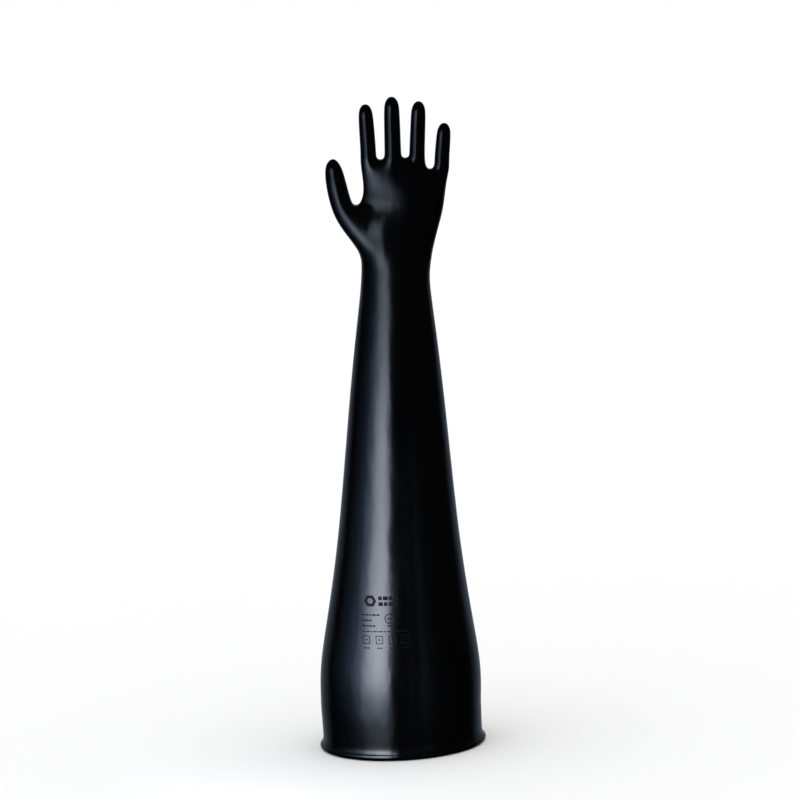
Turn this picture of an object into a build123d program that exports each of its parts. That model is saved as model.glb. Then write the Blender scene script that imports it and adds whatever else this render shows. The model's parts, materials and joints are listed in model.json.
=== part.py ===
"""A long one-piece rubber gauntlet: a splayed hand, a narrow wrist, a conical arm-length sleeve and a
cuff band with a rolled bead, made to be stretched over a round port ring.

The rubber is one dipped skin. It is divided here where the wearer's joints make it flex: stiff stretches
are rigid shells, and between them lie flex rings, the short lengths of skin that stretch and fold.

Frame: the origin is the centre of the cuff on the surface that the bead stands on. +Z runs up the
cuff's axis towards the fingertips and +X points to the little finger's side. The palm faces -Y, the way
the fingers curl. Millimetres.
"""

from math import cos, radians, sin
import os

from build123d import *

# ---- driving sizes ---------------------------------------------------------------------------------
WALL = 1.0  # rubber thickness of the whole skin
CUFF_BORE_R = 97.5  # inside radius of the cuff band, which a round port ring fills
CUFF_R = CUFF_BORE_R + WALL
LEAN = 2.4  # degrees that the soft sleeve leans over its cuff, towards the little finger
LEAN_Z = 52.0  # height on the cuff's axis where the lean begins

# ---- cuff bead -------------------------------------------------------------------------------------
BEAD_HALF_WIDTH = 2.65  # radial half size of the rolled bead's oval section
BEAD_HALF_HEIGHT = 3.7  # axial half size, so the bead is 7.4 mm tall
CORE_R = 1.5  # section radius of the round cord that the cuff's edge is rolled around
CORE_CLEARANCE = 0.05
BEAD_R = CUFF_BORE_R + BEAD_HALF_WIDTH  # the bead's inner side is flush with the bore

# ---- sleeve: (height along its axis, outer radius) -------------------------------------------------
SLEEVE_PROFILE = [
    (LEAN_Z, CUFF_R),
    (84.0, 98.2),
    (112.0, 95.9),
    (151.0, 89.7),
    (227.0, 78.7),
    (317.0, 68.5),
    (382.0, 62.4),
]

# ---- forearm, wrist and palm: (height, sideways centre, sideways half width, half depth) -----------
FOREARM_SECTIONS = [
    (382.0, 0.0, 62.4, 62.4),
    (437.0, 0.0, 57.0, 56.0),
    (498.0, 0.0, 50.3, 48.0),
    (546.0, 0.2, 44.7, 41.0),
    (596.0, 0.6, 41.6, 36.6),
]
HAND_SECTIONS = [
    (596.0, 0.6, 41.6, 36.6),
    (614.0, 1.2, 43.2, 35.2),
    (640.0, 4.5, 46.5, 30.5),
    (670.0, 10.0, 48.5, 24.5),
    (700.0, 12.5, 51.0, 20.0),
    (726.0, 13.5, 52.3, 14.5),
    (735.5, 13.5, 49.0, 9.0),
]

# ---- where the skin flexes, as (lowest, highest) heights along the sleeve's axis --------------------
PORT_FLEX = (LEAN_Z, 88.0)
ELBOW_FLEX = (358.0, 382.0)
WRIST_BEND_FLEX = (563.0, 596.0)
WRIST_SWAY_FLEX = (602.0, 616.5)

# ---- fingers ---------------------------------------------------------------------------------------
# knuckle: sideways place and height of the knuckle's hinge; tilt: degrees from the sleeve's axis,
# positive towards the little finger; radii at the knuckle and where the rounded tip begins; dome: the
# length of the rounded tip; joints: distances of the middle and tip joints from the knuckle; length:
# from the knuckle to the fingertip.
FINGERS = {
    "index": dict(knuckle=(-31.4, 741.0), tilt=-3.2, radii=(9.5, 9.1), dome=16, joints=(24, 44), length=63.8),
    "middle": dict(knuckle=(-1.4, 742.0), tilt=-0.8, radii=(10.0, 9.5), dome=16, joints=(27, 49), length=71.7),
    "ring": dict(knuckle=(28.2, 741.5), tilt=2.6, radii=(9.2, 8.7), dome=15, joints=(25, 46), length=66.2),
    "little": dict(knuckle=(58.5, 732.0), tilt=4.8, radii=(8.9, 8.6), dome=14, joints=(18, 33.5), length=48.4),
}
THUMB = dict(knuckle=(-67.5, 692.5), tilt=-9.4, radii=(12.5, 12.0), dome=24, joints=(21,), length=45.2)
KNUCKLE_FLEX = 9.6  # length of skin that flexes at a finger's knuckle and middle joint
TIP_FLEX = 5.0  # the same at a fingertip joint
THUMB_FLEX = (8.0, 8.6)  # the same at the thumb's two joints
LITTLE_CLEARING_R = 16.5  # the palm's edge is cut back this far around the lower-set little finger
ROOT_DEPTH = 66.0  # how far below the knuckle a finger's root tapers out inside the palm
ROOT_R = 5.0

# Thumb root, from inside the palm to the thumb's knuckle: (sideways, height, degrees, radius)
THUMB_ROOT = [
    (-12.0, 626.0, -52.0, 20.0),
    (-37.0, 648.0, -40.0, 21.0),
    (-55.5, 668.0, -26.0, 17.3),
]

LEAN_MOVE = Pos(0, 0, LEAN_Z) * Rot(0, LEAN, 0) * Pos(0, 0, -LEAN_Z)
BIG = 400.0  # wider than any part of the glove, for cutting


def slab(low, high):
    """All the space between two heights."""
    return Pos(0, 0, (low + high) / 2) * Box(BIG, BIG, high - low)


def ring_solid(profile):
    """A closed outline in the XZ plane, turned into a ring about the Z axis."""
    return revolve(profile, axis=Axis.Z)


# ---- cuff ------------------------------------------------------------------------------------------
def bead_and_core():
    """The rolled bead, hollow for its core, and the round cord inside it."""
    centre = Plane.XZ * Pos(BEAD_R, BEAD_HALF_HEIGHT)
    oval = centre * Ellipse(BEAD_HALF_WIDTH, BEAD_HALF_HEIGHT)
    bead = ring_solid(oval - centre * Circle(CORE_R + CORE_CLEARANCE))
    core = ring_solid(centre * Circle(CORE_R))
    return bead, core


def cuff_band(bead):
    """The straight band above the bead, cut on the mitre where the sleeve begins to lean."""
    height = 2 * LEAN_Z
    tube = Cylinder(CUFF_R, height) - Cylinder(CUFF_BORE_R, height)
    tube = Pos(0, 0, BEAD_HALF_HEIGHT + height / 2) * tube
    half = radians(LEAN / 2)
    mitre = Plane(origin=(0, 0, LEAN_Z), z_dir=(sin(half), 0, cos(half)))
    return split(tube, bisect_by=mitre, keep=Keep.BOTTOM) - bead


# ---- sleeve, modelled upright ----------------------------------------------------------------------
def lower_cone(inset):
    """The solid inside the lower sleeve's outline, taken in by inset."""
    start, *rest = [(r - inset, z) for z, r in SLEEVE_PROFILE]
    below = (start[0], start[1] - 10)
    outline = Polyline((start[0], start[1]), below, (0, below[1]), (0, rest[-1][1]), rest[-1])
    outline += Spline(start, *rest, tangents=[(0, 1), (-0.094, 1)])
    return ring_solid(Plane.XZ * make_face(outline))


def lower_sleeve_shell():
    """The lower sleeve's skin from the lean's mitre to the elbow."""
    half = radians(LEAN / 2)
    mitre = Plane(origin=(0, 0, LEAN_Z), z_dir=(-sin(half), 0, cos(half)))
    return split(lower_cone(0) - lower_cone(WALL), bisect_by=mitre, keep=Keep.TOP)


def lofted_solid(sections, inset):
    """The solid inside a row of ovals, taken in by inset."""
    ovals = []
    for height, centre, half_width, half_depth in sections:
        ovals.append(Pos(centre, 0, height) * Ellipse(half_width - inset, half_depth - inset))
    return loft(ovals)


def forearm_shell():
    """The forearm's skin from the elbow to the wrist."""
    return lofted_solid(FOREARM_SECTIONS, 0) - lofted_solid(FOREARM_SECTIONS, WALL)


# ---- fingers, modelled along +Z from the knuckle's hinge -------------------------------------------
def finger_solid(finger, inset, flex):
    """A finger's solid from its knuckle flex ring to its rounded tip, taken in by inset."""
    r0, r1 = (r - inset for r in finger["radii"])
    end = finger["length"] - inset
    dome = finger["dome"] - inset
    start = -flex / 2
    side = Polyline((0, end), (0, start), (r0, start), (r1, end - dome))
    rounding = [(r1 * cos(a), end - dome + dome * sin(a)) for a in (0, radians(30), radians(60))]
    tip = Spline(*rounding, (0, end), tangents=[(0, 1), (-1, 0)])
    return ring_solid(Plane.XZ * make_face(side + tip))


def root_solid(finger, inset, flex):
    """A finger's root, tapering out inside the palm."""
    r = finger["radii"][0] - inset
    high = -flex / 2
    low = -ROOT_DEPTH
    return Pos(0, 0, (low + high) / 2) * Cone(ROOT_R - inset, r, high - low)


def place(finger, distance=0.0, shift=0.0):
    """Where a point of a finger's axis lies on the upright glove, turned to the finger's direction."""
    u, w = finger["knuckle"]
    return Pos(u, 0, w) * Rot(0, finger["tilt"], 0) * Pos(0, shift, distance)


def cut_finger(name, finger, flexes, parts):
    """Divides one finger into its rigid shells and flex rings, and adds them to parts."""
    shell = finger_solid(finger, 0, flexes[0]) - finger_solid(finger, WALL, flexes[0])
    joints = (0.0, *finger["joints"])
    names = ("lower", "middle", "tip") if len(joints) == 3 else ("lower", "tip")
    flex_names = ("knuckle", *names[1:])
    for i, at in enumerate(joints):
        low, high = at - flexes[i] / 2, at + flexes[i] / 2
        last = i + 1 == len(joints)
        end = finger["length"] + 1 if last else joints[i + 1] - flexes[i + 1] / 2
        parts[f"{name}_{flex_names[i]}_flex"] = place(finger) * (shell & slab(low, high))
        parts[f"{name}_{names[i]}"] = place(finger) * (shell & slab(high, end))


def thumb_root(inset):
    """The thumb's root, a bent taper from inside the palm to the thumb's knuckle."""
    start = -THUMB_FLEX[0] / 2
    rounds = []
    for u, w, degrees, r in THUMB_ROOT:
        rounds.append(Pos(u, 0, w) * Rot(0, degrees, 0) * Circle(r - inset))
    rounds.append(place(THUMB, start) * Circle(THUMB["radii"][0] - inset))
    return loft(rounds)


def hand_shell():
    """Palm and back of the hand, with open stubs for the fingers and the thumb."""
    outer = lofted_solid(HAND_SECTIONS, 0)
    inner = lofted_solid(HAND_SECTIONS, WALL) & slab(0, HAND_SECTIONS[-1][0] - WALL)
    clearing = place(FINGERS["little"], BIG / 2 - KNUCKLE_FLEX / 2)
    outer -= clearing * Cylinder(LITTLE_CLEARING_R, BIG)
    inner -= clearing * Cylinder(LITTLE_CLEARING_R + WALL, BIG + 2 * WALL)
    for finger in FINGERS.values():
        outer += place(finger) * root_solid(finger, 0, KNUCKLE_FLEX)
        inner += place(finger) * root_solid(finger, WALL, KNUCKLE_FLEX)
    outer += thumb_root(0)
    inner += thumb_root(WALL)
    return outer - inner


# ---- the whole glove -------------------------------------------------------------------------------
def build():
    """Every node of the glove in its resting place."""
    bead, core = bead_and_core()
    cuff = {"bead_core_ring": core, "rolled_bead": bead, "cuff_band": cuff_band(bead)}

    sleeve, arm, hand = lower_sleeve_shell(), forearm_shell(), hand_shell()
    upright = {
        "port_flex": sleeve & slab(0, PORT_FLEX[1]),
        "lower_sleeve": sleeve & slab(PORT_FLEX[1], ELBOW_FLEX[0]),
        "elbow_flex": sleeve & slab(*ELBOW_FLEX),
        "upper_sleeve": arm & slab(ELBOW_FLEX[1], WRIST_BEND_FLEX[0]),
        "wrist_bend_flex": arm & slab(*WRIST_BEND_FLEX),
        "wrist_ring": hand & slab(WRIST_BEND_FLEX[1], WRIST_SWAY_FLEX[0]),
        "wrist_sway_flex": hand & slab(*WRIST_SWAY_FLEX),
        "hand_shell": hand & slab(WRIST_SWAY_FLEX[1], WRIST_SWAY_FLEX[1] + BIG),
    }
    for name, finger in FINGERS.items():
        cut_finger(name, finger, (KNUCKLE_FLEX, KNUCKLE_FLEX, TIP_FLEX), upright)
    cut_finger("thumb", THUMB, THUMB_FLEX, upright)
    return {**cuff, **{name: LEAN_MOVE * shape for name, shape in upright.items()}}


if __name__ == "__main__":
    os.makedirs("parts", exist_ok=True)
    for name, shape in build().items():
        export_step(shape, f"parts/{name}.step")
        print(name, len(shape.solids()), round(shape.volume), shape.is_valid)
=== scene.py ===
# %% [markdown]
# # A long rubber gauntlet
#
# The real thing is one skin of black rubber: a former in the shape of a spread hand and a cone is dipped
# in liquid rubber, and the skin is rolled up at the cuff to a bead and pulled off. The CAD model divides
# that skin into stiff shells and flex rings, because a simulation needs stiff bodies. Here the skin is
# modelled once, as one smooth surface, and then cut where nothing bends, so that each piece crosses
# exactly one joint.

# %% Load the frame
import json
import math

import bmesh
import bpy
from mathutils import Matrix, Vector

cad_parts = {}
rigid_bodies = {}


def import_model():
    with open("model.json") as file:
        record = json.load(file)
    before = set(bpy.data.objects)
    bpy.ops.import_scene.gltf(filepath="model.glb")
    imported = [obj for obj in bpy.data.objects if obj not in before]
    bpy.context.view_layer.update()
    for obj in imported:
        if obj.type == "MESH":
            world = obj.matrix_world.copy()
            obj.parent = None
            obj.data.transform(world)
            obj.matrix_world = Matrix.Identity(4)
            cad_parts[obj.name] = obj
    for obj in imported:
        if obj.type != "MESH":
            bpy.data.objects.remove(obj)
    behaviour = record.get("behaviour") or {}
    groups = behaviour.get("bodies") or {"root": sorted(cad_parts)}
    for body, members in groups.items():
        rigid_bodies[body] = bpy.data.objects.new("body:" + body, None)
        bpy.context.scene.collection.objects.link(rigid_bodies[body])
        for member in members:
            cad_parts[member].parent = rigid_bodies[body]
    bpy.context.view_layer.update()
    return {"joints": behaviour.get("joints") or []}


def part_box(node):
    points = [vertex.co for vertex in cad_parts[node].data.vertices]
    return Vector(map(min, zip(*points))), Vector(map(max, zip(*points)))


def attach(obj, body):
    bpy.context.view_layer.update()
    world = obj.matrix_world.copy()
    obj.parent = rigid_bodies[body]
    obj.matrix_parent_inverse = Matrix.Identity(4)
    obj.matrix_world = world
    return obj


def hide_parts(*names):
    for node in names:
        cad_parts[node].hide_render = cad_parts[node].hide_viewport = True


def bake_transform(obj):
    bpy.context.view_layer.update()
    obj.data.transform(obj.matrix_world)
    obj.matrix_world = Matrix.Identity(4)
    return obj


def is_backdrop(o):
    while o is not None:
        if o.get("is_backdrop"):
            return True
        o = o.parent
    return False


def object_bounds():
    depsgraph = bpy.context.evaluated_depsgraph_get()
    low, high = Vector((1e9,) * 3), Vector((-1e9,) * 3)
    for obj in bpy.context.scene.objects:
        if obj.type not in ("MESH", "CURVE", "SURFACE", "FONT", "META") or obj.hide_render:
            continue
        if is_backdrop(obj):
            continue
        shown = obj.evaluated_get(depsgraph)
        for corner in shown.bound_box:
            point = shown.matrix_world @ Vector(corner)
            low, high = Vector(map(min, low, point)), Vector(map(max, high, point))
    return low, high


for leftover in list(bpy.data.objects):
    bpy.data.objects.remove(leftover)
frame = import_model()
hinges = {joint["name"]: joint for joint in frame["joints"]}

# %% [markdown]
# ## Shared sizes
#
# A glove on its port never stands quite straight: the soft sleeve leans a little over its stiff cuff. The
# skin is modelled upright, where its rows are level and easy to read, and leans only when it is finished.

# %% Sizes that the pieces share
MM = 0.001
LEAN = math.radians(2.4)  # the soft sleeve leans this much over its cuff
LEAN_HEIGHT = 52 * MM  # where the lean begins, on the cuff's axis
WALL = 1.0 * MM
BEAD_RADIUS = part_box("rolled_bead")[1].x
BEAD_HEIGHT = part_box("rolled_bead")[1].z
print(f"bead radius {BEAD_RADIUS / MM:.1f} mm, bead height {BEAD_HEIGHT / MM:.1f} mm")

# %% [markdown]
# ## Modelling helpers
#
# Operators act on what is selected, so every helper starts from nothing selected. Each vertex of the cage
# carries two numbers, its column around the glove and its row along it. An extrusion copies them, so that a
# new ring of vertices still knows which place each of its vertices takes.

# %% Helpers for edit mode
VERTICES = (True, False, False)
EDGES = (False, True, False)
FACES = (False, False, True)


def edit(piece):
    """Opens a piece in edit mode with nothing selected, and returns its mesh for picking."""
    if bpy.context.mode == "EDIT_MESH":
        bpy.ops.object.mode_set(mode="OBJECT")
    bpy.ops.object.select_all(action="DESELECT")
    bpy.context.view_layer.objects.active = piece
    piece.select_set(True)
    bpy.ops.object.mode_set(mode="EDIT")
    bpy.context.tool_settings.mesh_select_mode = VERTICES
    bpy.ops.mesh.select_all(action="DESELECT")
    return bmesh.from_edit_mesh(piece.data)


def close(piece):
    """Leaves edit mode."""
    bmesh.update_edit_mesh(piece.data)
    bpy.ops.object.mode_set(mode="OBJECT")


def extrude(piece, bm, mode, elements):
    """Extrudes the given faces or edges on the spot and returns the mesh and its new, selected vertices."""
    bpy.context.tool_settings.mesh_select_mode = mode
    for element in elements:
        element.select = True
    bm.select_flush_mode()
    bmesh.update_edit_mesh(piece.data)
    bpy.ops.mesh.extrude_region_move(TRANSFORM_OT_translate={"value": (0, 0, 0)})
    bm = bmesh.from_edit_mesh(piece.data)
    return bm, [v for v in bm.verts if v.select]


def start_piece(name):
    """Makes a piece without any mesh yet and opens it, so that shapes can be added to it in edit mode."""
    bpy.ops.object.select_all(action="DESELECT")
    bpy.ops.mesh.primitive_circle_add(vertices=3, radius=MM)
    piece = bpy.context.object
    piece.name = piece.data.name = name
    edit(piece)
    bpy.ops.mesh.select_all(action="SELECT")
    bpy.ops.mesh.delete(type="VERT")
    return piece


def apply_modifier(piece, kind, **settings):
    """Adds a modifier with these settings and applies it."""
    bpy.ops.object.select_all(action="DESELECT")
    bpy.context.view_layer.objects.active = piece
    piece.select_set(True)
    modifier = piece.modifiers.new(kind.lower(), kind)
    for name, value in settings.items():
        setattr(modifier, name, value)
    bpy.ops.object.modifier_apply(modifier=modifier.name)


# %% [markdown]
# ## The knuckle line
#
# The cage begins where the hand is most divided: at the line of knuckles, a grid three vertices deep. Two
# columns of faces under each finger and one under each web between fingers make eleven columns. A smooth
# surface pulls in from its cage, a ring of eight vertices by a tenth, so the cage is drawn that much larger.

# %% The grid at the knuckles
# Each finger: sideways centre and radius at its root, in millimetres, on the upright glove.
FINGER_ROOTS = {
    "index": (-31.3, 9.7),
    "middle": (-1.1, 10.3),
    "ring": (28.5, 9.6),
    "little": (58.8, 9.2),
}
DIAGONAL = math.cos(math.radians(45))
OCTAGON = 2 / 3 + DIAGONAL / 3  # how far a smoothed ring of eight pulls in
COLUMNS = 26  # round the rim of the grid, counted from the thumb's side over the front to the back
LEFT_COLUMN, RIGHT_COLUMN = 1, 14
# Height of each of the twelve columns: webs are low, and the little finger's root is the lowest.
KNUCKLE_HEIGHTS = (733, 733.3, 733, 733, 734.7, 734.9, 734.9, 730.2, 720.3, 720.3, 720.3, 720)

bpy.ops.object.select_all(action="DESELECT")
bpy.ops.mesh.primitive_grid_add(x_subdivisions=11, y_subdivisions=2, size=1, location=(0, 0, 0))
skin = bpy.context.object
skin.name = "skin"
bm = edit(skin)
column_layer = bm.verts.layers.int.new("column")
row_layer = bm.verts.layers.int.new("row")
knuckle_places = {}
for v in bm.verts:
    across, deep = round((v.co.x + 0.5) * 11), round((v.co.y + 0.5) * 2) - 1
    side = across % 3 - 1
    centre, radius = FINGER_ROOTS[list(FINGER_ROOTS)[across // 3]]
    radius /= OCTAGON
    u = centre + side * radius * (DIAGONAL if deep else 1)
    v.co = Vector((u, deep * radius * (DIAGONAL if side else 1), KNUCKLE_HEIGHTS[across])) * MM
    if deep == 0 and across not in (0, 11):
        continue
    if deep == 0:
        v[column_layer] = LEFT_COLUMN if across == 0 else RIGHT_COLUMN
    else:
        v[column_layer] = across + 2 if deep < 0 else COLUMNS - across
    knuckle_places[v[column_layer]] = u
print(len(bm.verts), "vertices at the knuckles,", len(knuckle_places), "on the rim")

# %% [markdown]
# ## Palm, wrist and sleeve
#
# The rim of that grid is pulled down, row by row, to the cuff. Near the knuckles a row keeps the fingers'
# columns. Further down its columns spread evenly round an oval, and at the thumb they open wider still, so
# that the thumb's root is broad.

# %% Rows from the knuckles to the cuff
# (left height, right height, left side, right side, front depth, back depth, evenness, thumb spread,
#  squareness, how much deeper the front is towards the little finger, height of the thumb's mound)
HAND_ROWS = (
    (724, 709, -41.4, 66.0, 14.4, 13.6, 0.00, 0.0, 2.5, 0.22, 0.0),
    (708, 694, -39.2, 63.6, 17.6, 17.0, 0.10, 0.1, 2.4, 0.42, 0.0),
    (692, 680, -38.4, 61.6, 19.0, 19.2, 0.25, 0.5, 2.3, 0.47, 0.2),
    (677, 666, -44.0, 59.0, 20.8, 21.6, 0.50, 1.0, 2.1, 0.44, 0.6),
    (650, 648, -50.0, 53.8, 25.8, 25.8, 0.80, 1.0, 2.0, 0.12, 4.0),
    (619, 622, -44.5, 46.8, 32.4, 31.2, 1.00, 1.0, 2.0, 0.00, 2.4),
    (603, 604, -42.0, 44.0, 35.8, 35.2, 1.00, 0.5, 2.0, 0.00, 0.0),
)
# The forearm and the sleeve: (height, half width, depth)
SLEEVE_ROWS = (
    (588, 42.4, 37.6),
    (570, 43.6, 39.6),
    (545, 46.6, 43.2),
    (512, 50.7, 48.4),
    (474, 55.0, 53.7),
    (430, 59.5, 59.2),
    (380, 64.2, 64.2),
    (328, 69.1, 69.1),
    (278, 74.0, 74.0),
    (232, 79.7, 79.7),
    (192, 85.5, 85.5),
    (160, 90.7, 90.7),
    (132, 95.4, 95.4),
    (108, 99.0, 99.0),
    (86, 100.6, 100.6),
    (68, 100.5, 100.5),
    (52, 100.2, 100.2),
    (38, 99.9, 99.9),
    (25, 99.6, 99.6),
    (15, 99.4, 99.4),
    (10.2, 99.9, 99.9),
    (7.4, 101.6, 101.6),
)
MOUND_PLACE, MOUND_WIDTH = -0.52, 0.40  # across the hand, from -1 at the thumb's side to 1
LEFT_AT_KNUCKLES = knuckle_places[LEFT_COLUMN]
WIDTH_AT_KNUCKLES = knuckle_places[RIGHT_COLUMN] - LEFT_AT_KNUCKLES


def turn_from_left(column):
    """How far round from the thumb's side a column lies, in steps, and whether it is in front or behind."""
    steps = column - 1
    return (steps, -1) if steps <= COLUMNS // 2 else (COLUMNS - steps, 1)


def column_angle(column, evenness, spread, squareness):
    """The angle of a column round the row's oval, from the thumb's side, as a blend of three layouts."""
    steps, _ = turn_from_left(column)
    x = 2 * (knuckle_places[column] - LEFT_AT_KNUCKLES) / WIDTH_AT_KNUCKLES - 1
    x = max(-1.0, min(1.0, x))
    at_fingers = math.acos(-math.copysign(abs(x) ** (squareness / 2), x))
    even = math.pi * steps / (COLUMNS / 2)
    wide = math.radians(25 * steps if steps <= 2 else 50 + 130 * (steps - 2) / 11)
    angle = at_fingers * (1 - evenness) + even * evenness
    return angle * (1 - spread) + wide * spread


def row_place(column, row):
    """Where a column's vertex lies on a row of the hand."""
    left_height, right_height, left, right, front, back, evenness, spread, squareness, skew, mound = row
    angle = column_angle(column, evenness, spread, squareness)
    side = turn_from_left(column)[1]
    x = -math.copysign(abs(math.cos(angle)) ** (2 / squareness), math.cos(angle))
    y = abs(math.sin(angle)) ** (2 / squareness) * (front * (1 + skew * x) if side < 0 else back) * side
    if side < 0:
        y -= mound * math.exp(-(((x - MOUND_PLACE) / MOUND_WIDTH) ** 2))
    if column in (LEFT_COLUMN, RIGHT_COLUMN):
        y = 0
    u = (left + right) / 2 + x * (right - left) / 2
    share = (x + 1) / 2
    return Vector((u, y, left_height * (1 - share) + right_height * share)) * MM


def pull_down(bm, number, row):
    """Extrudes the open rim into a new row."""
    bpy.ops.mesh.select_all(action="DESELECT")
    rim = [e for e in bm.edges if e.is_boundary]
    bm, ring = extrude(skin, bm, EDGES, rim)
    column_layer, row_layer = (bm.verts.layers.int[name] for name in ("column", "row"))
    for v in ring:
        v.co = row_place(v[column_layer], row)
        v[row_layer] = number
    return bm


sleeve_rows = [
    (height, height, -width, width, depth, depth, 1.0, 0.0, 2.0, 0.0, 0.0)
    for height, width, depth in SLEEVE_ROWS
]
for number, row in enumerate((*HAND_ROWS, *sleeve_rows), start=1):
    bm = pull_down(bm, number, row)
print(len(bm.faces), "faces in the cage of the palm and sleeve")

# %% [markdown]
# ## Fingers
#
# A finger is its four faces of the grid, extruded. The first ring is laid square to the finger's own
# direction, which the CAD model's knuckle hinge gives. From there each ring is the last one moved along the
# finger and drawn in a little. The last three rings are close together and shrink fast: they round the tip.

# %% Lines of the fingers
FINGER_JOINTS = {finger: ("knuckle", "middle", "tip") for finger in FINGER_ROOTS}
FINGER_JOINTS["thumb"] = ("knuckle", "tip")


def upright(point):
    """A point of the frame on the upright glove, before the sleeve leans."""
    pivot = Vector((0, 0, LEAN_HEIGHT))
    return Matrix.Rotation(-LEAN, 3, "Y") @ (Vector(point) - pivot) + pivot


def finger_line(name):
    """On the upright glove: the knuckle, the way the finger points, and how far along it each hinge is."""
    places = [upright(hinges[f"{name}_{joint}_bend"]["pos_m"]) for joint in FINGER_JOINTS[name]]
    start = Vector((places[0].x, 0, places[0].z))
    along = (places[1] - places[0]).normalized()
    return start, along, [(place - places[0]).length for place in places]


for finger in FINGER_JOINTS:
    print(finger, "hinges at", [round(distance / MM, 1) for distance in finger_line(finger)[2]], "mm")

# %% Extrude the fingers
FINGER_SHIFT = 0.3 * MM  # the soft fingers lie this far towards the little finger
HALF_FINGER = 9 * MM  # a face of the grid this near a finger's middle belongs to that finger
OFF_GRID = -1  # the row of every vertex that is no longer on the knuckle grid
# Rings of each finger: (distance from the knuckle, radius), and the tip's distance.
FINGER_RINGS = {
    "index": (((2, 9.6), (20, 9.5), (36, 9.3), (47.5, 8.9), (54.8, 7.8), (60.5, 4.3)), 62.3),
    "middle": (((2, 10.2), (20, 10.0), (40, 9.8), (55, 9.4), (62.2, 8.3), (68.3, 4.6)), 70.2),
    "ring": (((2, 9.5), (20, 9.3), (38, 9.2), (50.5, 8.9), (57.2, 7.8), (62.9, 4.3)), 64.8),
    "little": (((2, 9.15), (12, 9.05), (23, 8.9), (33, 8.6), (39.7, 7.5), (45.1, 4.1)), 46.9),
}


def lay_octagon(ring, start, along, distance, radius):
    """Puts an extruded block of nine vertices on a ring square to the finger."""
    across = Vector((0, 1, 0)).cross(along)
    middle = start + along * distance * MM
    centre = sum((v.co for v in ring), Vector()) / len(ring)
    for v in ring:
        side = v.co - centre
        sideways, deep = (0 if abs(part) < 2 * MM else math.copysign(1, part) for part in (side.x, side.y))
        reach = radius * MM / OCTAGON * (DIAGONAL if sideways and deep else 1)
        v.co = middle + across * sideways * reach + Vector((0, deep * reach, 0))


for name, (rings, tip) in FINGER_RINGS.items():
    start, along, _ = finger_line(name)
    start.x += FINGER_SHIFT
    bm = edit(skin)
    row_layer = bm.verts.layers.int["row"]
    middle_u = FINGER_ROOTS[name][0] * MM
    block = [
        f for f in bm.faces
        if abs(f.calc_center_median().x - middle_u) < HALF_FINGER and all(v[row_layer] == 0 for v in f.verts)
    ]
    (distance, radius), *others = rings
    bm, ring = extrude(skin, bm, FACES, block)
    lay_octagon(ring, start, along, distance, radius)
    for v in ring:
        v[bm.verts.layers.int["row"]] = OFF_GRID
    bmesh.update_edit_mesh(skin.data)
    for next_distance, next_radius in others:
        step = along * (next_distance - distance) * MM
        bpy.ops.mesh.extrude_region_move(TRANSFORM_OT_translate={"value": step})
        centre = start + along * next_distance * MM
        shrink = next_radius / radius
        bpy.ops.transform.resize(value=(shrink, shrink, shrink), center_override=centre)
        distance, radius = next_distance, next_radius
    bm = bmesh.from_edit_mesh(skin.data)
    cap = [v for v in bm.verts if v.select]
    centre = start + along * distance * MM
    top = min(cap, key=lambda v: (v.co - centre).length)
    top.co = start + along * tip * MM
    print(name, len(block), "faces extruded to", round(tip), "mm")
close(skin)

# %% [markdown]
# ## Thumb
#
# The thumb grows out of eight faces on the palm's edge. Its rings turn as they go: the root leaves the palm
# sideways, and the tip points up, almost along the fingers.

# %% Extrude the thumb
# Each ring, on the upright glove: its inner side, its outer side and its half depth, in millimetres.
THUMB_RINGS = (
    ((-50.5, 677.0), (-60.0, 640.5), 17.6),
    ((-53.5, 684.0), (-74.5, 662.5), 14.4),
    ((-56.4, 695.0), (-81.4, 688.0), 12.9),
    ((-59.6, 708.0), (-84.2, 706.0), 12.4),
    ((-62.8, 720.5), (-84.9, 720.5), 11.2),
    ((-66.4, 728.2), (-83.0, 728.7), 8.3),
    ((-70.3, 733.4), (-78.9, 733.8), 4.2),
)
THUMB_TIP = (-74.6, 735.5)
TIP_SHARE = 0.9  # how far the last ring's middle is pushed out towards the tip
DOZEN = 2 / 3 + math.cos(math.radians(30)) / 3  # how far a smoothed ring of twelve pulls in
THUMB_COLUMNS = {3: -2, 2: -1, 1: 0, 26: 1, 25: 2}
THUMB_ROWS = {4: 1, 5: 0, 6: -1}


def thumb_turn(column, row):
    """The angle of a vertex of the thumb's block round the thumb, from its inner side, or None inside it."""
    i, j = THUMB_COLUMNS[column], THUMB_ROWS[row]
    if j == 1:
        return math.radians(30 * i)
    if j == 0:
        return math.radians(45 * i) if abs(i) == 2 else None
    return math.radians(180 - 30 * i) if i else math.pi


bm = edit(skin)
column_layer, row_layer = (bm.verts.layers.int[name] for name in ("column", "row"))
block = [
    f for f in bm.faces
    if all(v[column_layer] in THUMB_COLUMNS and v[row_layer] in THUMB_ROWS for v in f.verts)
]
print(len(block), "faces for the thumb")
for number, (inner, outer, depth) in enumerate(THUMB_RINGS):
    bm, ring = extrude(skin, bm, FACES, block if number == 0 else [])
    column_layer, row_layer = (bm.verts.layers.int[name] for name in ("column", "row"))
    inner_side, outer_side = (Vector((u, 0, w)) * MM for u, w in (inner, outer))
    middle, reach = (inner_side + outer_side) / 2, (inner_side - outer_side) / 2 / DOZEN
    for v in ring:
        turn = thumb_turn(v[column_layer], v[row_layer])
        if turn is None:
            v.co = middle + Vector((0, THUMB_COLUMNS[v[column_layer]] * depth * MM / 2, 0))
        else:
            v.co = middle + reach * math.cos(turn) + Vector((0, math.sin(turn) * depth * MM / DOZEN, 0))
for v in ring:
    if thumb_turn(v[column_layer], v[row_layer]) is None:
        v.co += (Vector((THUMB_TIP[0], 0, THUMB_TIP[1])) * MM - middle) * TIP_SHARE
close(skin)

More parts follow.
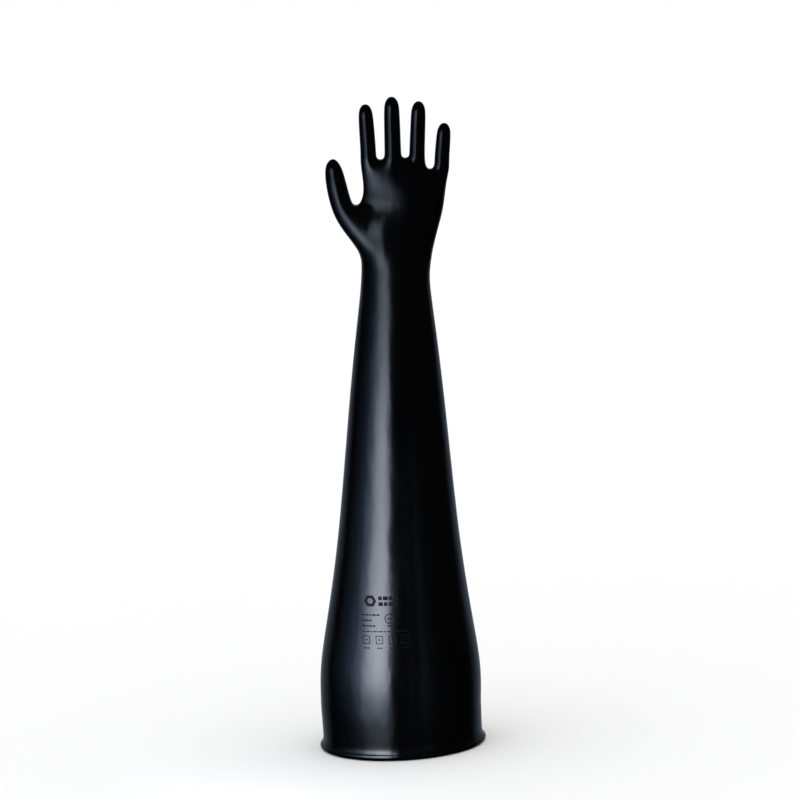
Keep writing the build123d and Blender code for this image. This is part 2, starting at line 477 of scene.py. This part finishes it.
# %% [markdown]
# ## One smooth skin
#
# Subdivision turns the cage into a smooth surface. Its rings then lie where the CAD model's shells are,
# within a millimetre or so.

# %% Smooth the skin
bm = edit(skin)
bpy.ops.mesh.select_all(action="SELECT")
bpy.ops.mesh.normals_make_consistent(inside=False)
close(skin)
apply_modifier(skin, "SUBSURF", levels=3, render_levels=3)
print(len(skin.data.polygons), "faces in the skin")

# %% [markdown]
# ## Cut where nothing bends
#
# A piece can bend across one joint only, and the glove has eighteen joints. So the smooth skin is cut into
# rings, each with one joint in its middle, and each cut lies where both sides move together. Bisect makes
# the new loop of edges exactly on the cut's plane, and the faces beyond it become a piece of their own.
# The two sides of a cut keep the same points, so that no gap can be seen.


# %% Cut the sleeve
def split(piece, name, place, direction, lane=None):
    """Cuts a piece with a plane and returns what is beyond it as a new piece.

    Only the faces that lane picks are cut."""
    bm = edit(piece)
    bpy.context.tool_settings.mesh_select_mode = FACES
    for f in bm.faces:
        f.select = lane is None or lane(f.calc_center_median())
    bmesh.update_edit_mesh(piece.data)
    bpy.ops.mesh.bisect(plane_co=place, plane_no=direction, threshold=1e-6)
    bpy.ops.mesh.select_all(action="DESELECT")
    bm = bmesh.from_edit_mesh(piece.data)
    for f in bm.faces:
        centre = f.calc_center_median()
        f.select = (lane is None or lane(centre)) and (centre - place).dot(direction) > 0
    bmesh.update_edit_mesh(piece.data)
    bpy.ops.mesh.separate(type="SELECTED")
    close(piece)
    made = next(o for o in bpy.context.selected_objects if o is not piece)
    made.name = made.data.name = name
    return made


UP = Vector((0, 0, 1))
# Each ring of the sleeve: the two bodies that it joins, where its bend starts and ends, and its upper cut.
SLEEVE_PIECES = {
    "cuff_skin": ("cuff", "lower_sleeve", 36 * MM, 108 * MM, 232 * MM),
    "elbow_skin": ("lower_sleeve", "upper_sleeve", 300 * MM, 440 * MM, 480 * MM),
    "wrist_skin": ("upper_sleeve", "wrist", 546 * MM, 607.6 * MM, 607.8 * MM),
    "hand_skin": ("wrist", "hand", 608 * MM, 650 * MM, None),
}
bends = {}  # piece name: the two bodies and the ends of the bend
pieces = {}
rest_of_skin = skin
for name, (lower_body, upper_body, start, end, cut) in SLEEVE_PIECES.items():
    bends[name] = (lower_body, upper_body, UP * start, UP * end)
    pieces[name] = rest_of_skin
    if cut:
        rest_of_skin = split(rest_of_skin, "rest", UP * cut, UP)
    pieces[name].name = pieces[name].data.name = name
print({name: len(piece.data.polygons) for name, piece in pieces.items()})

# %% Cut the fingers
KNUCKLE_BEND = (-4.6 * MM, 8.4 * MM)  # where a bend starts and ends, before and after its hinge
JOINT_BEND = (-5.6 * MM, 5.6 * MM)
BELOW_BEND = 0.2 * MM  # the first cut lies this far below the knuckle's bend
LANE_START = -9 * MM
LANES = {finger: 14.5 * MM for finger in FINGER_ROOTS}  # half the width that holds only this finger
LANES["thumb"] = 18 * MM
MOVED_PART = {"knuckle": "lower", "middle": "middle", "tip": "tip"}  # the part of a finger that a joint moves


def finger_lane(start, along, half_width):
    """A test that picks what lies round one finger, a little below its root and above."""
    across = Vector((0, 1, 0)).cross(along)
    return lambda p: abs((p - start).dot(across)) < half_width and (p - start).dot(along) > LANE_START


for finger, joints in FINGER_JOINTS.items():
    start, along, distances = finger_line(finger)
    bodies = ["hand"] + [f"{finger}_{MOVED_PART[joint]}" for joint in joints]
    zones = [
        [d + reach for reach in (KNUCKLE_BEND if number == 0 else JOINT_BEND)]
        for number, d in enumerate(distances)
    ]
    cuts = [zones[0][0] - BELOW_BEND] + [(zone[1] + after[0]) / 2 for zone, after in zip(zones, zones[1:])]
    lane = finger_lane(start, along, LANES[finger])
    rest_of_finger = pieces["hand_skin"]
    for number, (zone, cut) in enumerate(zip(zones, cuts)):
        name = f"{bodies[number + 1]}_skin"
        rest_of_finger = split(
            rest_of_finger, name, start + along * cut, along, lane if number == 0 else None
        )
        pieces[name] = rest_of_finger
        bends[name] = (bodies[number], bodies[number + 1], *(start + along * d for d in zone))
    print(finger, [round(c / MM, 1) for c in cuts])

# %% [markdown]
# ## A wall, and the lean
#
# So far each piece is a surface. Solidify gives it the rubber's thickness, inwards, because the sizes are
# those of the outside. Then the glove leans: everything above the cuff turns a little, and a short stretch bends
# smoothly in between. Shading by angle keeps the cut edges of the wall crisp, so that the outside stays
# smooth right up to a cut.


# %% Give the pieces their wall and lean them
LEAN_REACH = 16 * MM  # the bend reaches this far above and below its middle


def leaned(point):
    """Where a point of the upright glove is on the glove that leans."""
    share = min(1, max(0, (point.z - LEAN_HEIGHT) / (2 * LEAN_REACH) + 0.5))
    angle = LEAN * share * share * (3 - 2 * share)
    pivot = Vector((0, 0, LEAN_HEIGHT))
    return Matrix.Rotation(angle, 3, "Y") @ (point - pivot) + pivot


for name, piece in pieces.items():
    apply_modifier(piece, "SOLIDIFY", thickness=WALL, offset=-1, use_even_offset=True, use_rim=True)
    bm = edit(piece)
    for v in bm.verts:
        v.co = leaned(v.co)
    close(piece)
    bpy.ops.object.shade_smooth_by_angle(angle=math.radians(50))
print(sum(len(piece.data.polygons) for piece in pieces.values()), "faces in all pieces")

# %% [markdown]
# ## Rubber
#
# Dipped rubber is black all through and shines, because nothing has touched it since it flowed over the
# former. What tells it from plastic is how uneven that shine is: the wall flows a little as it dries, so the
# gloss wavers in long soft streaks that run down the sleeve, and there is a fine orange peel over it.


# %% Helpers for materials
def node(tree, kind, **settings):
    """Adds a shader node with these settings."""
    made = tree.nodes.new(kind)
    for name, value in settings.items():
        setattr(made, name, value)
    return made


def noise(tree, places, stretch, scale, detail):
    """A noise pattern over the surface, stretched along the glove."""
    mapping = node(tree, "ShaderNodeMapping")
    mapping.inputs["Scale"].default_value = (1, 1, stretch)
    pattern = node(tree, "ShaderNodeTexNoise")
    pattern.inputs["Scale"].default_value = scale
    pattern.inputs["Detail"].default_value = detail
    tree.links.new(places, mapping.inputs["Vector"])
    tree.links.new(mapping.outputs["Vector"], pattern.inputs["Vector"])
    return pattern.outputs["Fac"]


def spread(tree, value, low, high):
    """Maps a pattern's middle range on to the range from low to high."""
    ramp = node(tree, "ShaderNodeMapRange")
    ramp.inputs["From Min"].default_value, ramp.inputs["From Max"].default_value = 0.3, 0.7
    ramp.inputs["To Min"].default_value, ramp.inputs["To Max"].default_value = low, high
    tree.links.new(value, ramp.inputs["Value"])
    return ramp.outputs["Result"]


def fill_ramp(ramp, stops):
    """Gives a colour ramp its stops: a place from 0 to 1 and a colour."""
    for _ in stops[2:]:
        ramp.color_ramp.elements.new(0.5)
    for element, (place, colour) in zip(ramp.color_ramp.elements, stops):
        element.position, element.color = place, (*colour, 1)


def new_material(name):
    """Makes a material and returns it with its node tree, its shader and the place on the object."""
    material = bpy.data.materials.new(name)
    material.use_nodes = True
    tree = material.node_tree
    return material, tree, tree.nodes["Principled BSDF"], node(tree, "ShaderNodeTexCoord").outputs["Object"]


def bump(tree, height, strength, distance):
    """A bump of this strength and depth in metres."""
    made = node(tree, "ShaderNodeBump")
    made.inputs["Strength"].default_value = strength
    made.inputs["Distance"].default_value = distance
    tree.links.new(height, made.inputs["Height"])
    return made


# %% Rubber
rubber, tree, shader, places = new_material("dipped_black_rubber")
shader.inputs["Base Color"].default_value = (0.0005, 0.0006, 0.0010, 1)
shader.inputs["IOR"].default_value = 1.5
tree.links.new(spread(tree, noise(tree, places, 0.3, 40, 3), 0.14, 0.22), shader.inputs["Roughness"])
waves = bump(tree, noise(tree, places, 0.4, 36, 2.2), 0.5, 1.6 * MM)
peel = bump(tree, noise(tree, places, 0.7, 420, 2), 0.12, 0.4 * MM)
tree.links.new(waves.outputs["Normal"], peel.inputs["Normal"])
tree.links.new(peel.outputs["Normal"], shader.inputs["Normal"])
for piece in pieces.values():
    piece.data.materials.clear()
    piece.data.materials.append(rubber)
print(rubber.name, "on", len(pieces), "pieces")

# %% [markdown]
# ## Rolled bead
#
# The edge of the cuff is rolled round a cord while the rubber is still soft, and welds to itself. Outside it
# is an oval with a fine step inside the cuff, where the roll ends. A ring of points is drawn once and spun
# round the glove's axis, first the outer oval and then the hollow that holds the core.

# %% Spin the bead
BEAD_HALF_WIDTH, BEAD_HALF_HEIGHT = 2.65 * MM, BEAD_HEIGHT / 2
CORE_SPACE = 1.55 * MM  # the radius of the hollow that holds the core
ROLL_STEP = 0.35 * MM  # the depth of the step inside the cuff
ROLL_END = (130, 165)  # where on the oval the step is, in degrees from the outside upwards
BEAD_MIDDLE = Vector((BEAD_RADIUS - BEAD_HALF_WIDTH, 0, BEAD_HALF_HEIGHT))
AROUND = 208


def spin_ring(piece, half_width, half_height, points, inside):
    """Adds an upright oval in edit mode and spins it round the glove's axis into a closed ring."""
    bpy.ops.mesh.select_all(action="DESELECT")
    bpy.ops.mesh.primitive_circle_add(
        vertices=points, radius=1, location=BEAD_MIDDLE, rotation=(math.radians(90), 0, 0)
    )
    bpy.ops.transform.resize(value=(half_width, 1, half_height), center_override=BEAD_MIDDLE)
    bm = bmesh.from_edit_mesh(piece.data)
    for v in bm.verts:
        if v.select and not inside:
            turn = math.degrees(math.atan2(v.co.z - BEAD_MIDDLE.z, v.co.x - BEAD_MIDDLE.x))
            if ROLL_END[0] < turn < ROLL_END[1]:
                v.co.x += ROLL_STEP
    bmesh.update_edit_mesh(piece.data)
    bpy.ops.mesh.spin(steps=AROUND, angle=math.tau, center=(0, 0, 0), axis=(0, 0, 1))
    bpy.ops.mesh.select_linked()
    bpy.ops.mesh.remove_doubles(threshold=0.01 * MM)
    bpy.ops.mesh.normals_make_consistent(inside=inside)


bead = start_piece("bead")
spin_ring(bead, BEAD_HALF_WIDTH, BEAD_HALF_HEIGHT, 28, inside=False)
spin_ring(bead, CORE_SPACE, CORE_SPACE, 14, inside=True)
close(bead)
bpy.ops.object.shade_smooth_by_angle(angle=math.radians(40))
bead.data.materials.append(rubber)
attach(bead, "cuff")
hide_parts("rolled_bead")
print(len(bead.data.polygons), "faces in the bead")

# %% [markdown]
# ## The pieces in place of the shells
#
# Each piece stands for the CAD shells and flex rings that it covers. Its place is baked into its mesh, and the
# parts that it covers are hidden.

# %% Hide the parts that each piece stands for
STANDS_FOR = {
    "cuff_skin": ("cuff_band", "port_flex"),
    "elbow_skin": ("lower_sleeve", "elbow_flex"),
    "wrist_skin": ("upper_sleeve", "wrist_bend_flex"),
    "hand_skin": ("wrist_ring", "wrist_sway_flex", "hand_shell"),
}
for finger, joints in FINGER_JOINTS.items():
    for joint in joints:
        part = f"{finger}_{MOVED_PART[joint]}"
        STANDS_FOR[f"{part}_skin"] = (f"{finger}_{joint}_flex", part)
for name, piece in pieces.items():
    body_a, body_b, start, end = bends[name]
    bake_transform(piece)
    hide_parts(*STANDS_FOR[name])
print(len(pieces), "pieces of skin bend")

# %% [markdown]
# ## Printed marks
#
# A maker prints its mark, a few lines of data and some small boxes on the front of the sleeve, in matt ink
# that shows only where the rubber shines. Here they are plain shapes that say nothing: a hexagon, bars and
# empty boxes. They are drawn flat in front of the glove, pressed on to the skin with Shrinkwrap, and given
# the thickness of ink.

# %% Helpers for the print
PRINT_PLANE = -200 * MM  # the marks are drawn this far in front of the glove's axis
TURNED = math.radians(90)  # turns a flat shape to face the front
PRINT_LEFT = -42.4  # the left edge of the print, in millimetres from the axis


def bar(left, height, width, tall):
    """Adds a plain bar to the print. All in millimetres."""
    bpy.ops.mesh.select_all(action="DESELECT")
    bpy.ops.mesh.primitive_plane_add(size=1, location=(0, 0, 0), rotation=(TURNED, 0, 0))
    bpy.ops.transform.resize(value=(width * MM, 1, tall * MM), center_override=(0, 0, 0))
    bpy.ops.transform.translate(value=((left + width / 2) * MM, PRINT_PLANE, height * MM))


def dashes(left, height, tall, widths, gap):
    """Adds a row of bars of these widths: a line of data without its letters."""
    for width in widths:
        bar(left, height, width, tall)
        left += width + gap


def outline(middle, height, radius, corners, line, stretch=1.0):
    """Adds a ring with this many corners to the print: a disc, inset by the line's width and emptied."""
    place = (middle * MM, PRINT_PLANE, height * MM)
    bpy.ops.mesh.select_all(action="DESELECT")
    bpy.ops.mesh.primitive_circle_add(
        vertices=corners, radius=radius * MM, fill_type="NGON", location=place,
        rotation=(TURNED, math.radians(180 / corners), 0),
    )
    bpy.ops.transform.resize(value=(1, 1, stretch), center_override=place)
    bpy.context.tool_settings.mesh_select_mode = FACES
    bpy.ops.mesh.inset(thickness=line * MM)
    bpy.ops.mesh.delete(type="FACE")
    bpy.context.tool_settings.mesh_select_mode = VERTICES


# %% Draw the print
print_marks = start_piece("print_marks")
# The maker's mark, a hexagon, and two broken bars beside it.
outline(-31.0, 197.5, 7.6, 6, 3.3)
dashes(-20.8, 201.0, 4.6, (4.4, 6.2, 4.4, 5.6), 1.3)
dashes(-20.8, 193.9, 4.6, (5.4, 4.2, 6.0, 4.6), 1.3)
# Three short lines of data, a long one and a round stamp.
dashes(PRINT_LEFT, 180.6, 1.9, (3.0, 4.2, 2.4, 5.2, 3.6), 0.9)
dashes(PRINT_LEFT + 1, 173.9, 1.9, (2.4, 3.8, 3.0), 0.9)
dashes(PRINT_LEFT, 167.2, 1.9, (4.4, 2.6, 3.4, 3.2), 0.9)
dashes(PRINT_LEFT, 160.4, 1.3, (3.2, 5.0, 2.2, 4.4, 6.0, 2.8, 4.6, 3.4, 5.4, 4.2, 4.8), 1.1)
outline(-8.2, 176.0, 6.2, 32, 1.1)
dashes(-11.0, 176.0, 1.4, (5.6,), 0)
dashes(-11.4, 167.4, 1.5, (2.6, 2.6), 1.0)
# Four boxes with a plain sign in each, and a short caption below.
for number, (across, up) in enumerate(((3.4, 1.0), (1.2, 3.8), (2.2, 2.2), (1.2, 3.4))):
    middle = PRINT_LEFT + 4.4 + number * 15.8
    outline(middle, 150.4, 6.3, 4, 0.9, 1.14)
    bar(middle - across / 2, 150.4, across, up)
    dashes(middle - 3.4, 140.4, 1.3, (3.0, 2.8), 0.8)
bpy.ops.mesh.select_all(action="SELECT")
bpy.ops.mesh.subdivide(number_cuts=3)  # so that the flat shapes can bend round the sleeve
close(print_marks)
print(len(print_marks.data.polygons), "flat faces")

# %% Press the print on to the skin
INK = 0.07 * MM
apply_modifier(
    print_marks, "SHRINKWRAP", target=pieces["cuff_skin"], wrap_method="PROJECT", use_project_y=True,
    use_positive_direction=True, use_negative_direction=False, offset=0.02 * MM,
)
apply_modifier(print_marks, "SOLIDIFY", thickness=INK, offset=1, use_rim=True)
ink, tree, shader, places = new_material("matt_ink")
shader.inputs["Specular IOR Level"].default_value = 0.12
tree.links.new(spread(tree, noise(tree, places, 1, 900, 2), 0.5, 0.75), shader.inputs["Roughness"])
shade = node(tree, "ShaderNodeValToRGB")
fill_ramp(shade, [(0.3, (0.0010, 0.0011, 0.0016)), (0.7, (0.0025, 0.0027, 0.0034))])
tree.links.new(noise(tree, places, 1, 260, 3), shade.inputs["Fac"])
tree.links.new(shade.outputs["Color"], shader.inputs["Base Color"])
print_marks.data.materials.append(ink)
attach(print_marks, "lower_sleeve")
print(len(print_marks.data.polygons), "faces in the print")

# %% [markdown]
# ## Core cord
#
# The cord inside the bead never shows on a whole glove, but it is a piece of its own, so it gets its own
# finish: pale braided fibre. The braid is one wave of diagonal bands over the ring.

# %% Core cord
cord, tree, shader, places = new_material("braided_core")
shader.inputs["Roughness"].default_value = 0.8
shade = node(tree, "ShaderNodeValToRGB")
fill_ramp(shade, [(0.2, (0.20, 0.19, 0.17)), (0.8, (0.42, 0.40, 0.36))])
braid = node(tree, "ShaderNodeTexWave", wave_type="BANDS", bands_direction="DIAGONAL")
braid.inputs["Scale"].default_value = 300
tree.links.new(places, braid.inputs["Vector"])
tree.links.new(braid.outputs["Fac"], shade.inputs["Fac"])
tree.links.new(shade.outputs["Color"], shader.inputs["Base Color"])
core = bpy.data.objects["bead_core_ring"]
for slot in core.material_slots:
    slot.material = cord
print(core.name, "has", len(core.material_slots), "slots")

# %% [markdown]
# ## Studio
#
# Black gloss shows nothing but its surroundings, so the picture is made by what the rubber mirrors. A soft
# box is bent round the glove on the thumb's side: its inner edge is crisp, its light fades outwards and
# upwards, and it shows only in reflections. Behind the glove it is bright, which draws a thin line along both
# outlines, and in front it is dark.

# %% Floor
bpy.ops.object.select_all(action="DESELECT")
bpy.ops.mesh.primitive_plane_add(size=24, location=(0, 0, -0.0005))
floor = bpy.context.object
floor.name = "floor"
floor.visible_glossy = False
paint, tree, shader, _ = new_material("pale_floor")
shader.inputs["Base Color"].default_value = (0.95, 0.95, 0.95, 1)
shader.inputs["Roughness"].default_value = 0.9
floor.data.materials.append(paint)
floor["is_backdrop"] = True
print(floor.name, "is", floor.dimensions.x, "m wide")

# %% [markdown]
# ## Soft boxes
#
# A soft box is an upright line spun round the glove. Its light is the product of two ramps, one round the
# glove and one up it, so that both its edges and its fading are drawn from listed stops. It takes the place of a
# lamp, because a lamp's reflection is evenly bright. A second, very faint box on the other side gives the dark
# half of the sleeve its form.

# %% Helpers for the soft boxes
BOX_RADIUS = 0.42
BOX_STEPS = 32
BOX_SHIFT = 0.010  # towards the side that the sleeve leans to


def soft_box(name, first, last, low, high, strength, sideways, upwards):
    """A glowing upright band, bent round the glove from the first angle to the last, seen only in gloss.

    The angles are degrees from the front towards the thumb's side. The stops sideways and upwards are
    colours and levels at an angle or a height."""
    bpy.ops.object.select_all(action="DESELECT")
    bpy.ops.mesh.primitive_plane_add(size=1, location=(0, 0, 0))
    made = bpy.context.object
    made.name = name
    bm = edit(made)
    turn = Matrix.Rotation(math.radians(-first), 3, "Z")
    for v in bm.verts:
        v.co = turn @ Vector((0, -BOX_RADIUS, low if v.co.x < 0 else high))
    bmesh.update_edit_mesh(made.data)
    bpy.ops.mesh.select_all(action="SELECT")
    bpy.ops.mesh.remove_doubles(threshold=MM)
    bpy.ops.mesh.spin(steps=BOX_STEPS, angle=math.radians(last - first), center=(0, 0, 0), axis=(0, 0, 1))
    close(made)
    for way in ("camera", "diffuse", "transmission", "volume_scatter", "shadow"):
        setattr(made, f"visible_{way}", False)
    glow = bpy.data.materials.new(name)
    glow.use_nodes = True
    tree = glow.node_tree
    tree.nodes.clear()
    emission = node(tree, "ShaderNodeEmission")
    place = node(tree, "ShaderNodeSeparateXYZ")
    tree.links.new(node(tree, "ShaderNodeTexCoord").outputs["Object"], place.inputs["Vector"])
    left, front = (node(tree, "ShaderNodeMath", operation="MULTIPLY") for _ in range(2))
    left.inputs[1].default_value = front.inputs[1].default_value = -1
    tree.links.new(place.outputs["X"], left.inputs[0])
    tree.links.new(place.outputs["Y"], front.inputs[0])
    angle = node(tree, "ShaderNodeMath", operation="ARCTAN2")
    tree.links.new(left.outputs["Value"], angle.inputs[0])
    tree.links.new(front.outputs["Value"], angle.inputs[1])
    ramps = []
    for value, ends, stops in (
        (angle.outputs["Value"], [math.radians(a) for a in (first, last)], sideways),
        (place.outputs["Z"], [low, high], upwards),
    ):
        share = node(tree, "ShaderNodeMapRange")
        share.inputs["From Min"].default_value, share.inputs["From Max"].default_value = ends
        tree.links.new(value, share.inputs["Value"])
        ramp = node(tree, "ShaderNodeValToRGB")
        fill_ramp(ramp, stops)
        tree.links.new(share.outputs["Result"], ramp.inputs["Fac"])
        ramps.append(ramp)
    both = node(tree, "ShaderNodeMix", data_type="RGBA", blend_type="MULTIPLY")
    both.inputs["Factor"].default_value = 1
    tree.links.new(ramps[0].outputs["Color"], both.inputs["A"])
    tree.links.new(ramps[1].outputs["Color"], both.inputs["B"])
    tree.links.new(both.outputs["Result"], emission.inputs["Color"])
    emission.inputs["Strength"].default_value = strength
    output = node(tree, "ShaderNodeOutputMaterial")
    tree.links.new(emission.outputs["Emission"], output.inputs["Surface"])
    made.data.materials.append(glow)
    made.location.x = BOX_SHIFT
    made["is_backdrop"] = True


def stops_between(first, last, dimmest, stops):
    """Turns (place, level) pairs into stops for a ramp from first to last, tinted where it is dim."""
    return [
        ((place - first) / (last - first), dimmest.lerp(BRIGHTEST, min(1, level * 1.3)) * level)
        for place, level in stops
    ]


# %% Soft boxes
BRIGHTEST = Vector((0.9, 0.93, 1.0))
COOL, COLD = Vector((0.72, 0.86, 1.0)), Vector((0.45, 0.68, 1.0))
# The levels of each box, by the angle from the front towards the thumb's side and by the height in metres.
ACROSS = (
    (14, 0.0), (19, 0.6), (23, 0.88), (31, 1.0), (43, 0.73), (55, 0.26), (68, 0.07), (84, 0.02), (105, 0.0)
)
HEIGHTS = (
    (-0.10, 0.05), (-0.05, 0.08), (-0.02, 0.2), (0.03, 0.52), (0.10, 0.88), (0.19, 1.0), (0.26, 0.76),
    (0.37, 0.65), (0.45, 0.5), (0.53, 0.34), (0.62, 0.25), (0.67, 0.13), (0.72, 0.11), (0.78, 0.20),
    (0.9, 0.11),
)
FAINT_ACROSS = ((-6, 0.0), (-12, 0.6), (-20, 0.2), (-30, 1.0), (-40, 0.3), (-60, 0.0))
FAINT_HEIGHTS = ((-0.10, 0.0), (0.0, 1.0), (0.25, 0.7), (0.45, 0.0))
for name, strength, across, round_tint, heights, upward_tint in (
    ("soft_box", 11.5, ACROSS, COLD, HEIGHTS, COOL),
    ("faint_box", 0.14, FAINT_ACROSS, COOL, FAINT_HEIGHTS, BRIGHTEST),
):
    (first, *_, last), (low, *_, high) = [place for place, _ in across], [place for place, _ in heights]
    sideways = stops_between(first, last, round_tint, across)
    upwards = stops_between(low, high, upward_tint, heights)
    soft_box(name, first, last, low, high, strength, sideways, upwards)
    print(name, "from", first, "to", last, "degrees, up to", high, "m")

# %% [markdown]
# ## Surroundings and camera
#
# The world is white for the eye and for matt surfaces, which lights the floor evenly. What gloss mirrors is
# dark in front and to the sides and bright only behind the glove. The camera stands far off with a long lens,
# a little above the glove's middle, so that the sleeve's sides keep their true taper.

# %% Surroundings
world = bpy.data.worlds.new("studio")
world.use_nodes = True
tree = world.node_tree
direction = node(tree, "ShaderNodeTexCoord").outputs["Generated"]
axes = node(tree, "ShaderNodeSeparateXYZ")
tree.links.new(direction, axes.inputs["Vector"])
behind = node(tree, "ShaderNodeValToRGB")
fill_ramp(behind, [(0.52, (0.001, 0.001, 0.002)), (0.96, (0.19, 0.23, 0.29)), (1.0, (0.9, 0.95, 1.0))])
tree.links.new(axes.outputs["Y"], behind.inputs["Fac"])
choose = node(tree, "ShaderNodeMix", data_type="RGBA")
choose.inputs["A"].default_value = (1.1, 1.1, 1.1, 1)
tree.links.new(behind.outputs["Color"], choose.inputs["B"])
tree.links.new(node(tree, "ShaderNodeLightPath").outputs["Is Glossy Ray"], choose.inputs["Factor"])
tree.links.new(choose.outputs["Result"], tree.nodes["Background"].inputs["Color"])
bpy.context.scene.world = world
bpy.context.scene.view_settings.view_transform = "Standard"
print(world.name, "has", len(tree.nodes), "nodes")

# %% Camera
TARGET = Vector((0.0196, 0, 0.4322))
FIELD = 0.9864  # how many metres the picture is wide at the glove
SENSOR = 36  # the sensor's width in millimetres
camera = bpy.data.objects.new("camera", bpy.data.cameras.new("camera"))
bpy.context.collection.objects.link(camera)
elevation, roll, distance = math.radians(10.8), math.radians(3.2), 12.0
back = Vector((0, -math.cos(elevation), math.sin(elevation)))
turn = (-back).to_track_quat("-Z", "Y").to_matrix().to_4x4() @ Matrix.Rotation(-roll, 4, "Z")
camera.matrix_world = Matrix.Translation(TARGET + back * distance) @ turn
camera.data.lens = SENSOR * distance / FIELD
camera.data.clip_end = 100
bpy.context.scene.camera = camera
print(f"lens {camera.data.lens:.0f} mm at {distance:.0f} m")

# %% [markdown]
# ## The glove's size
#
# The glove is measured, and its box is printed.

# %% Measure the glove
low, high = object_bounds()
print("visual box, metres:", [round(v, 4) for v in (*low, *high)])
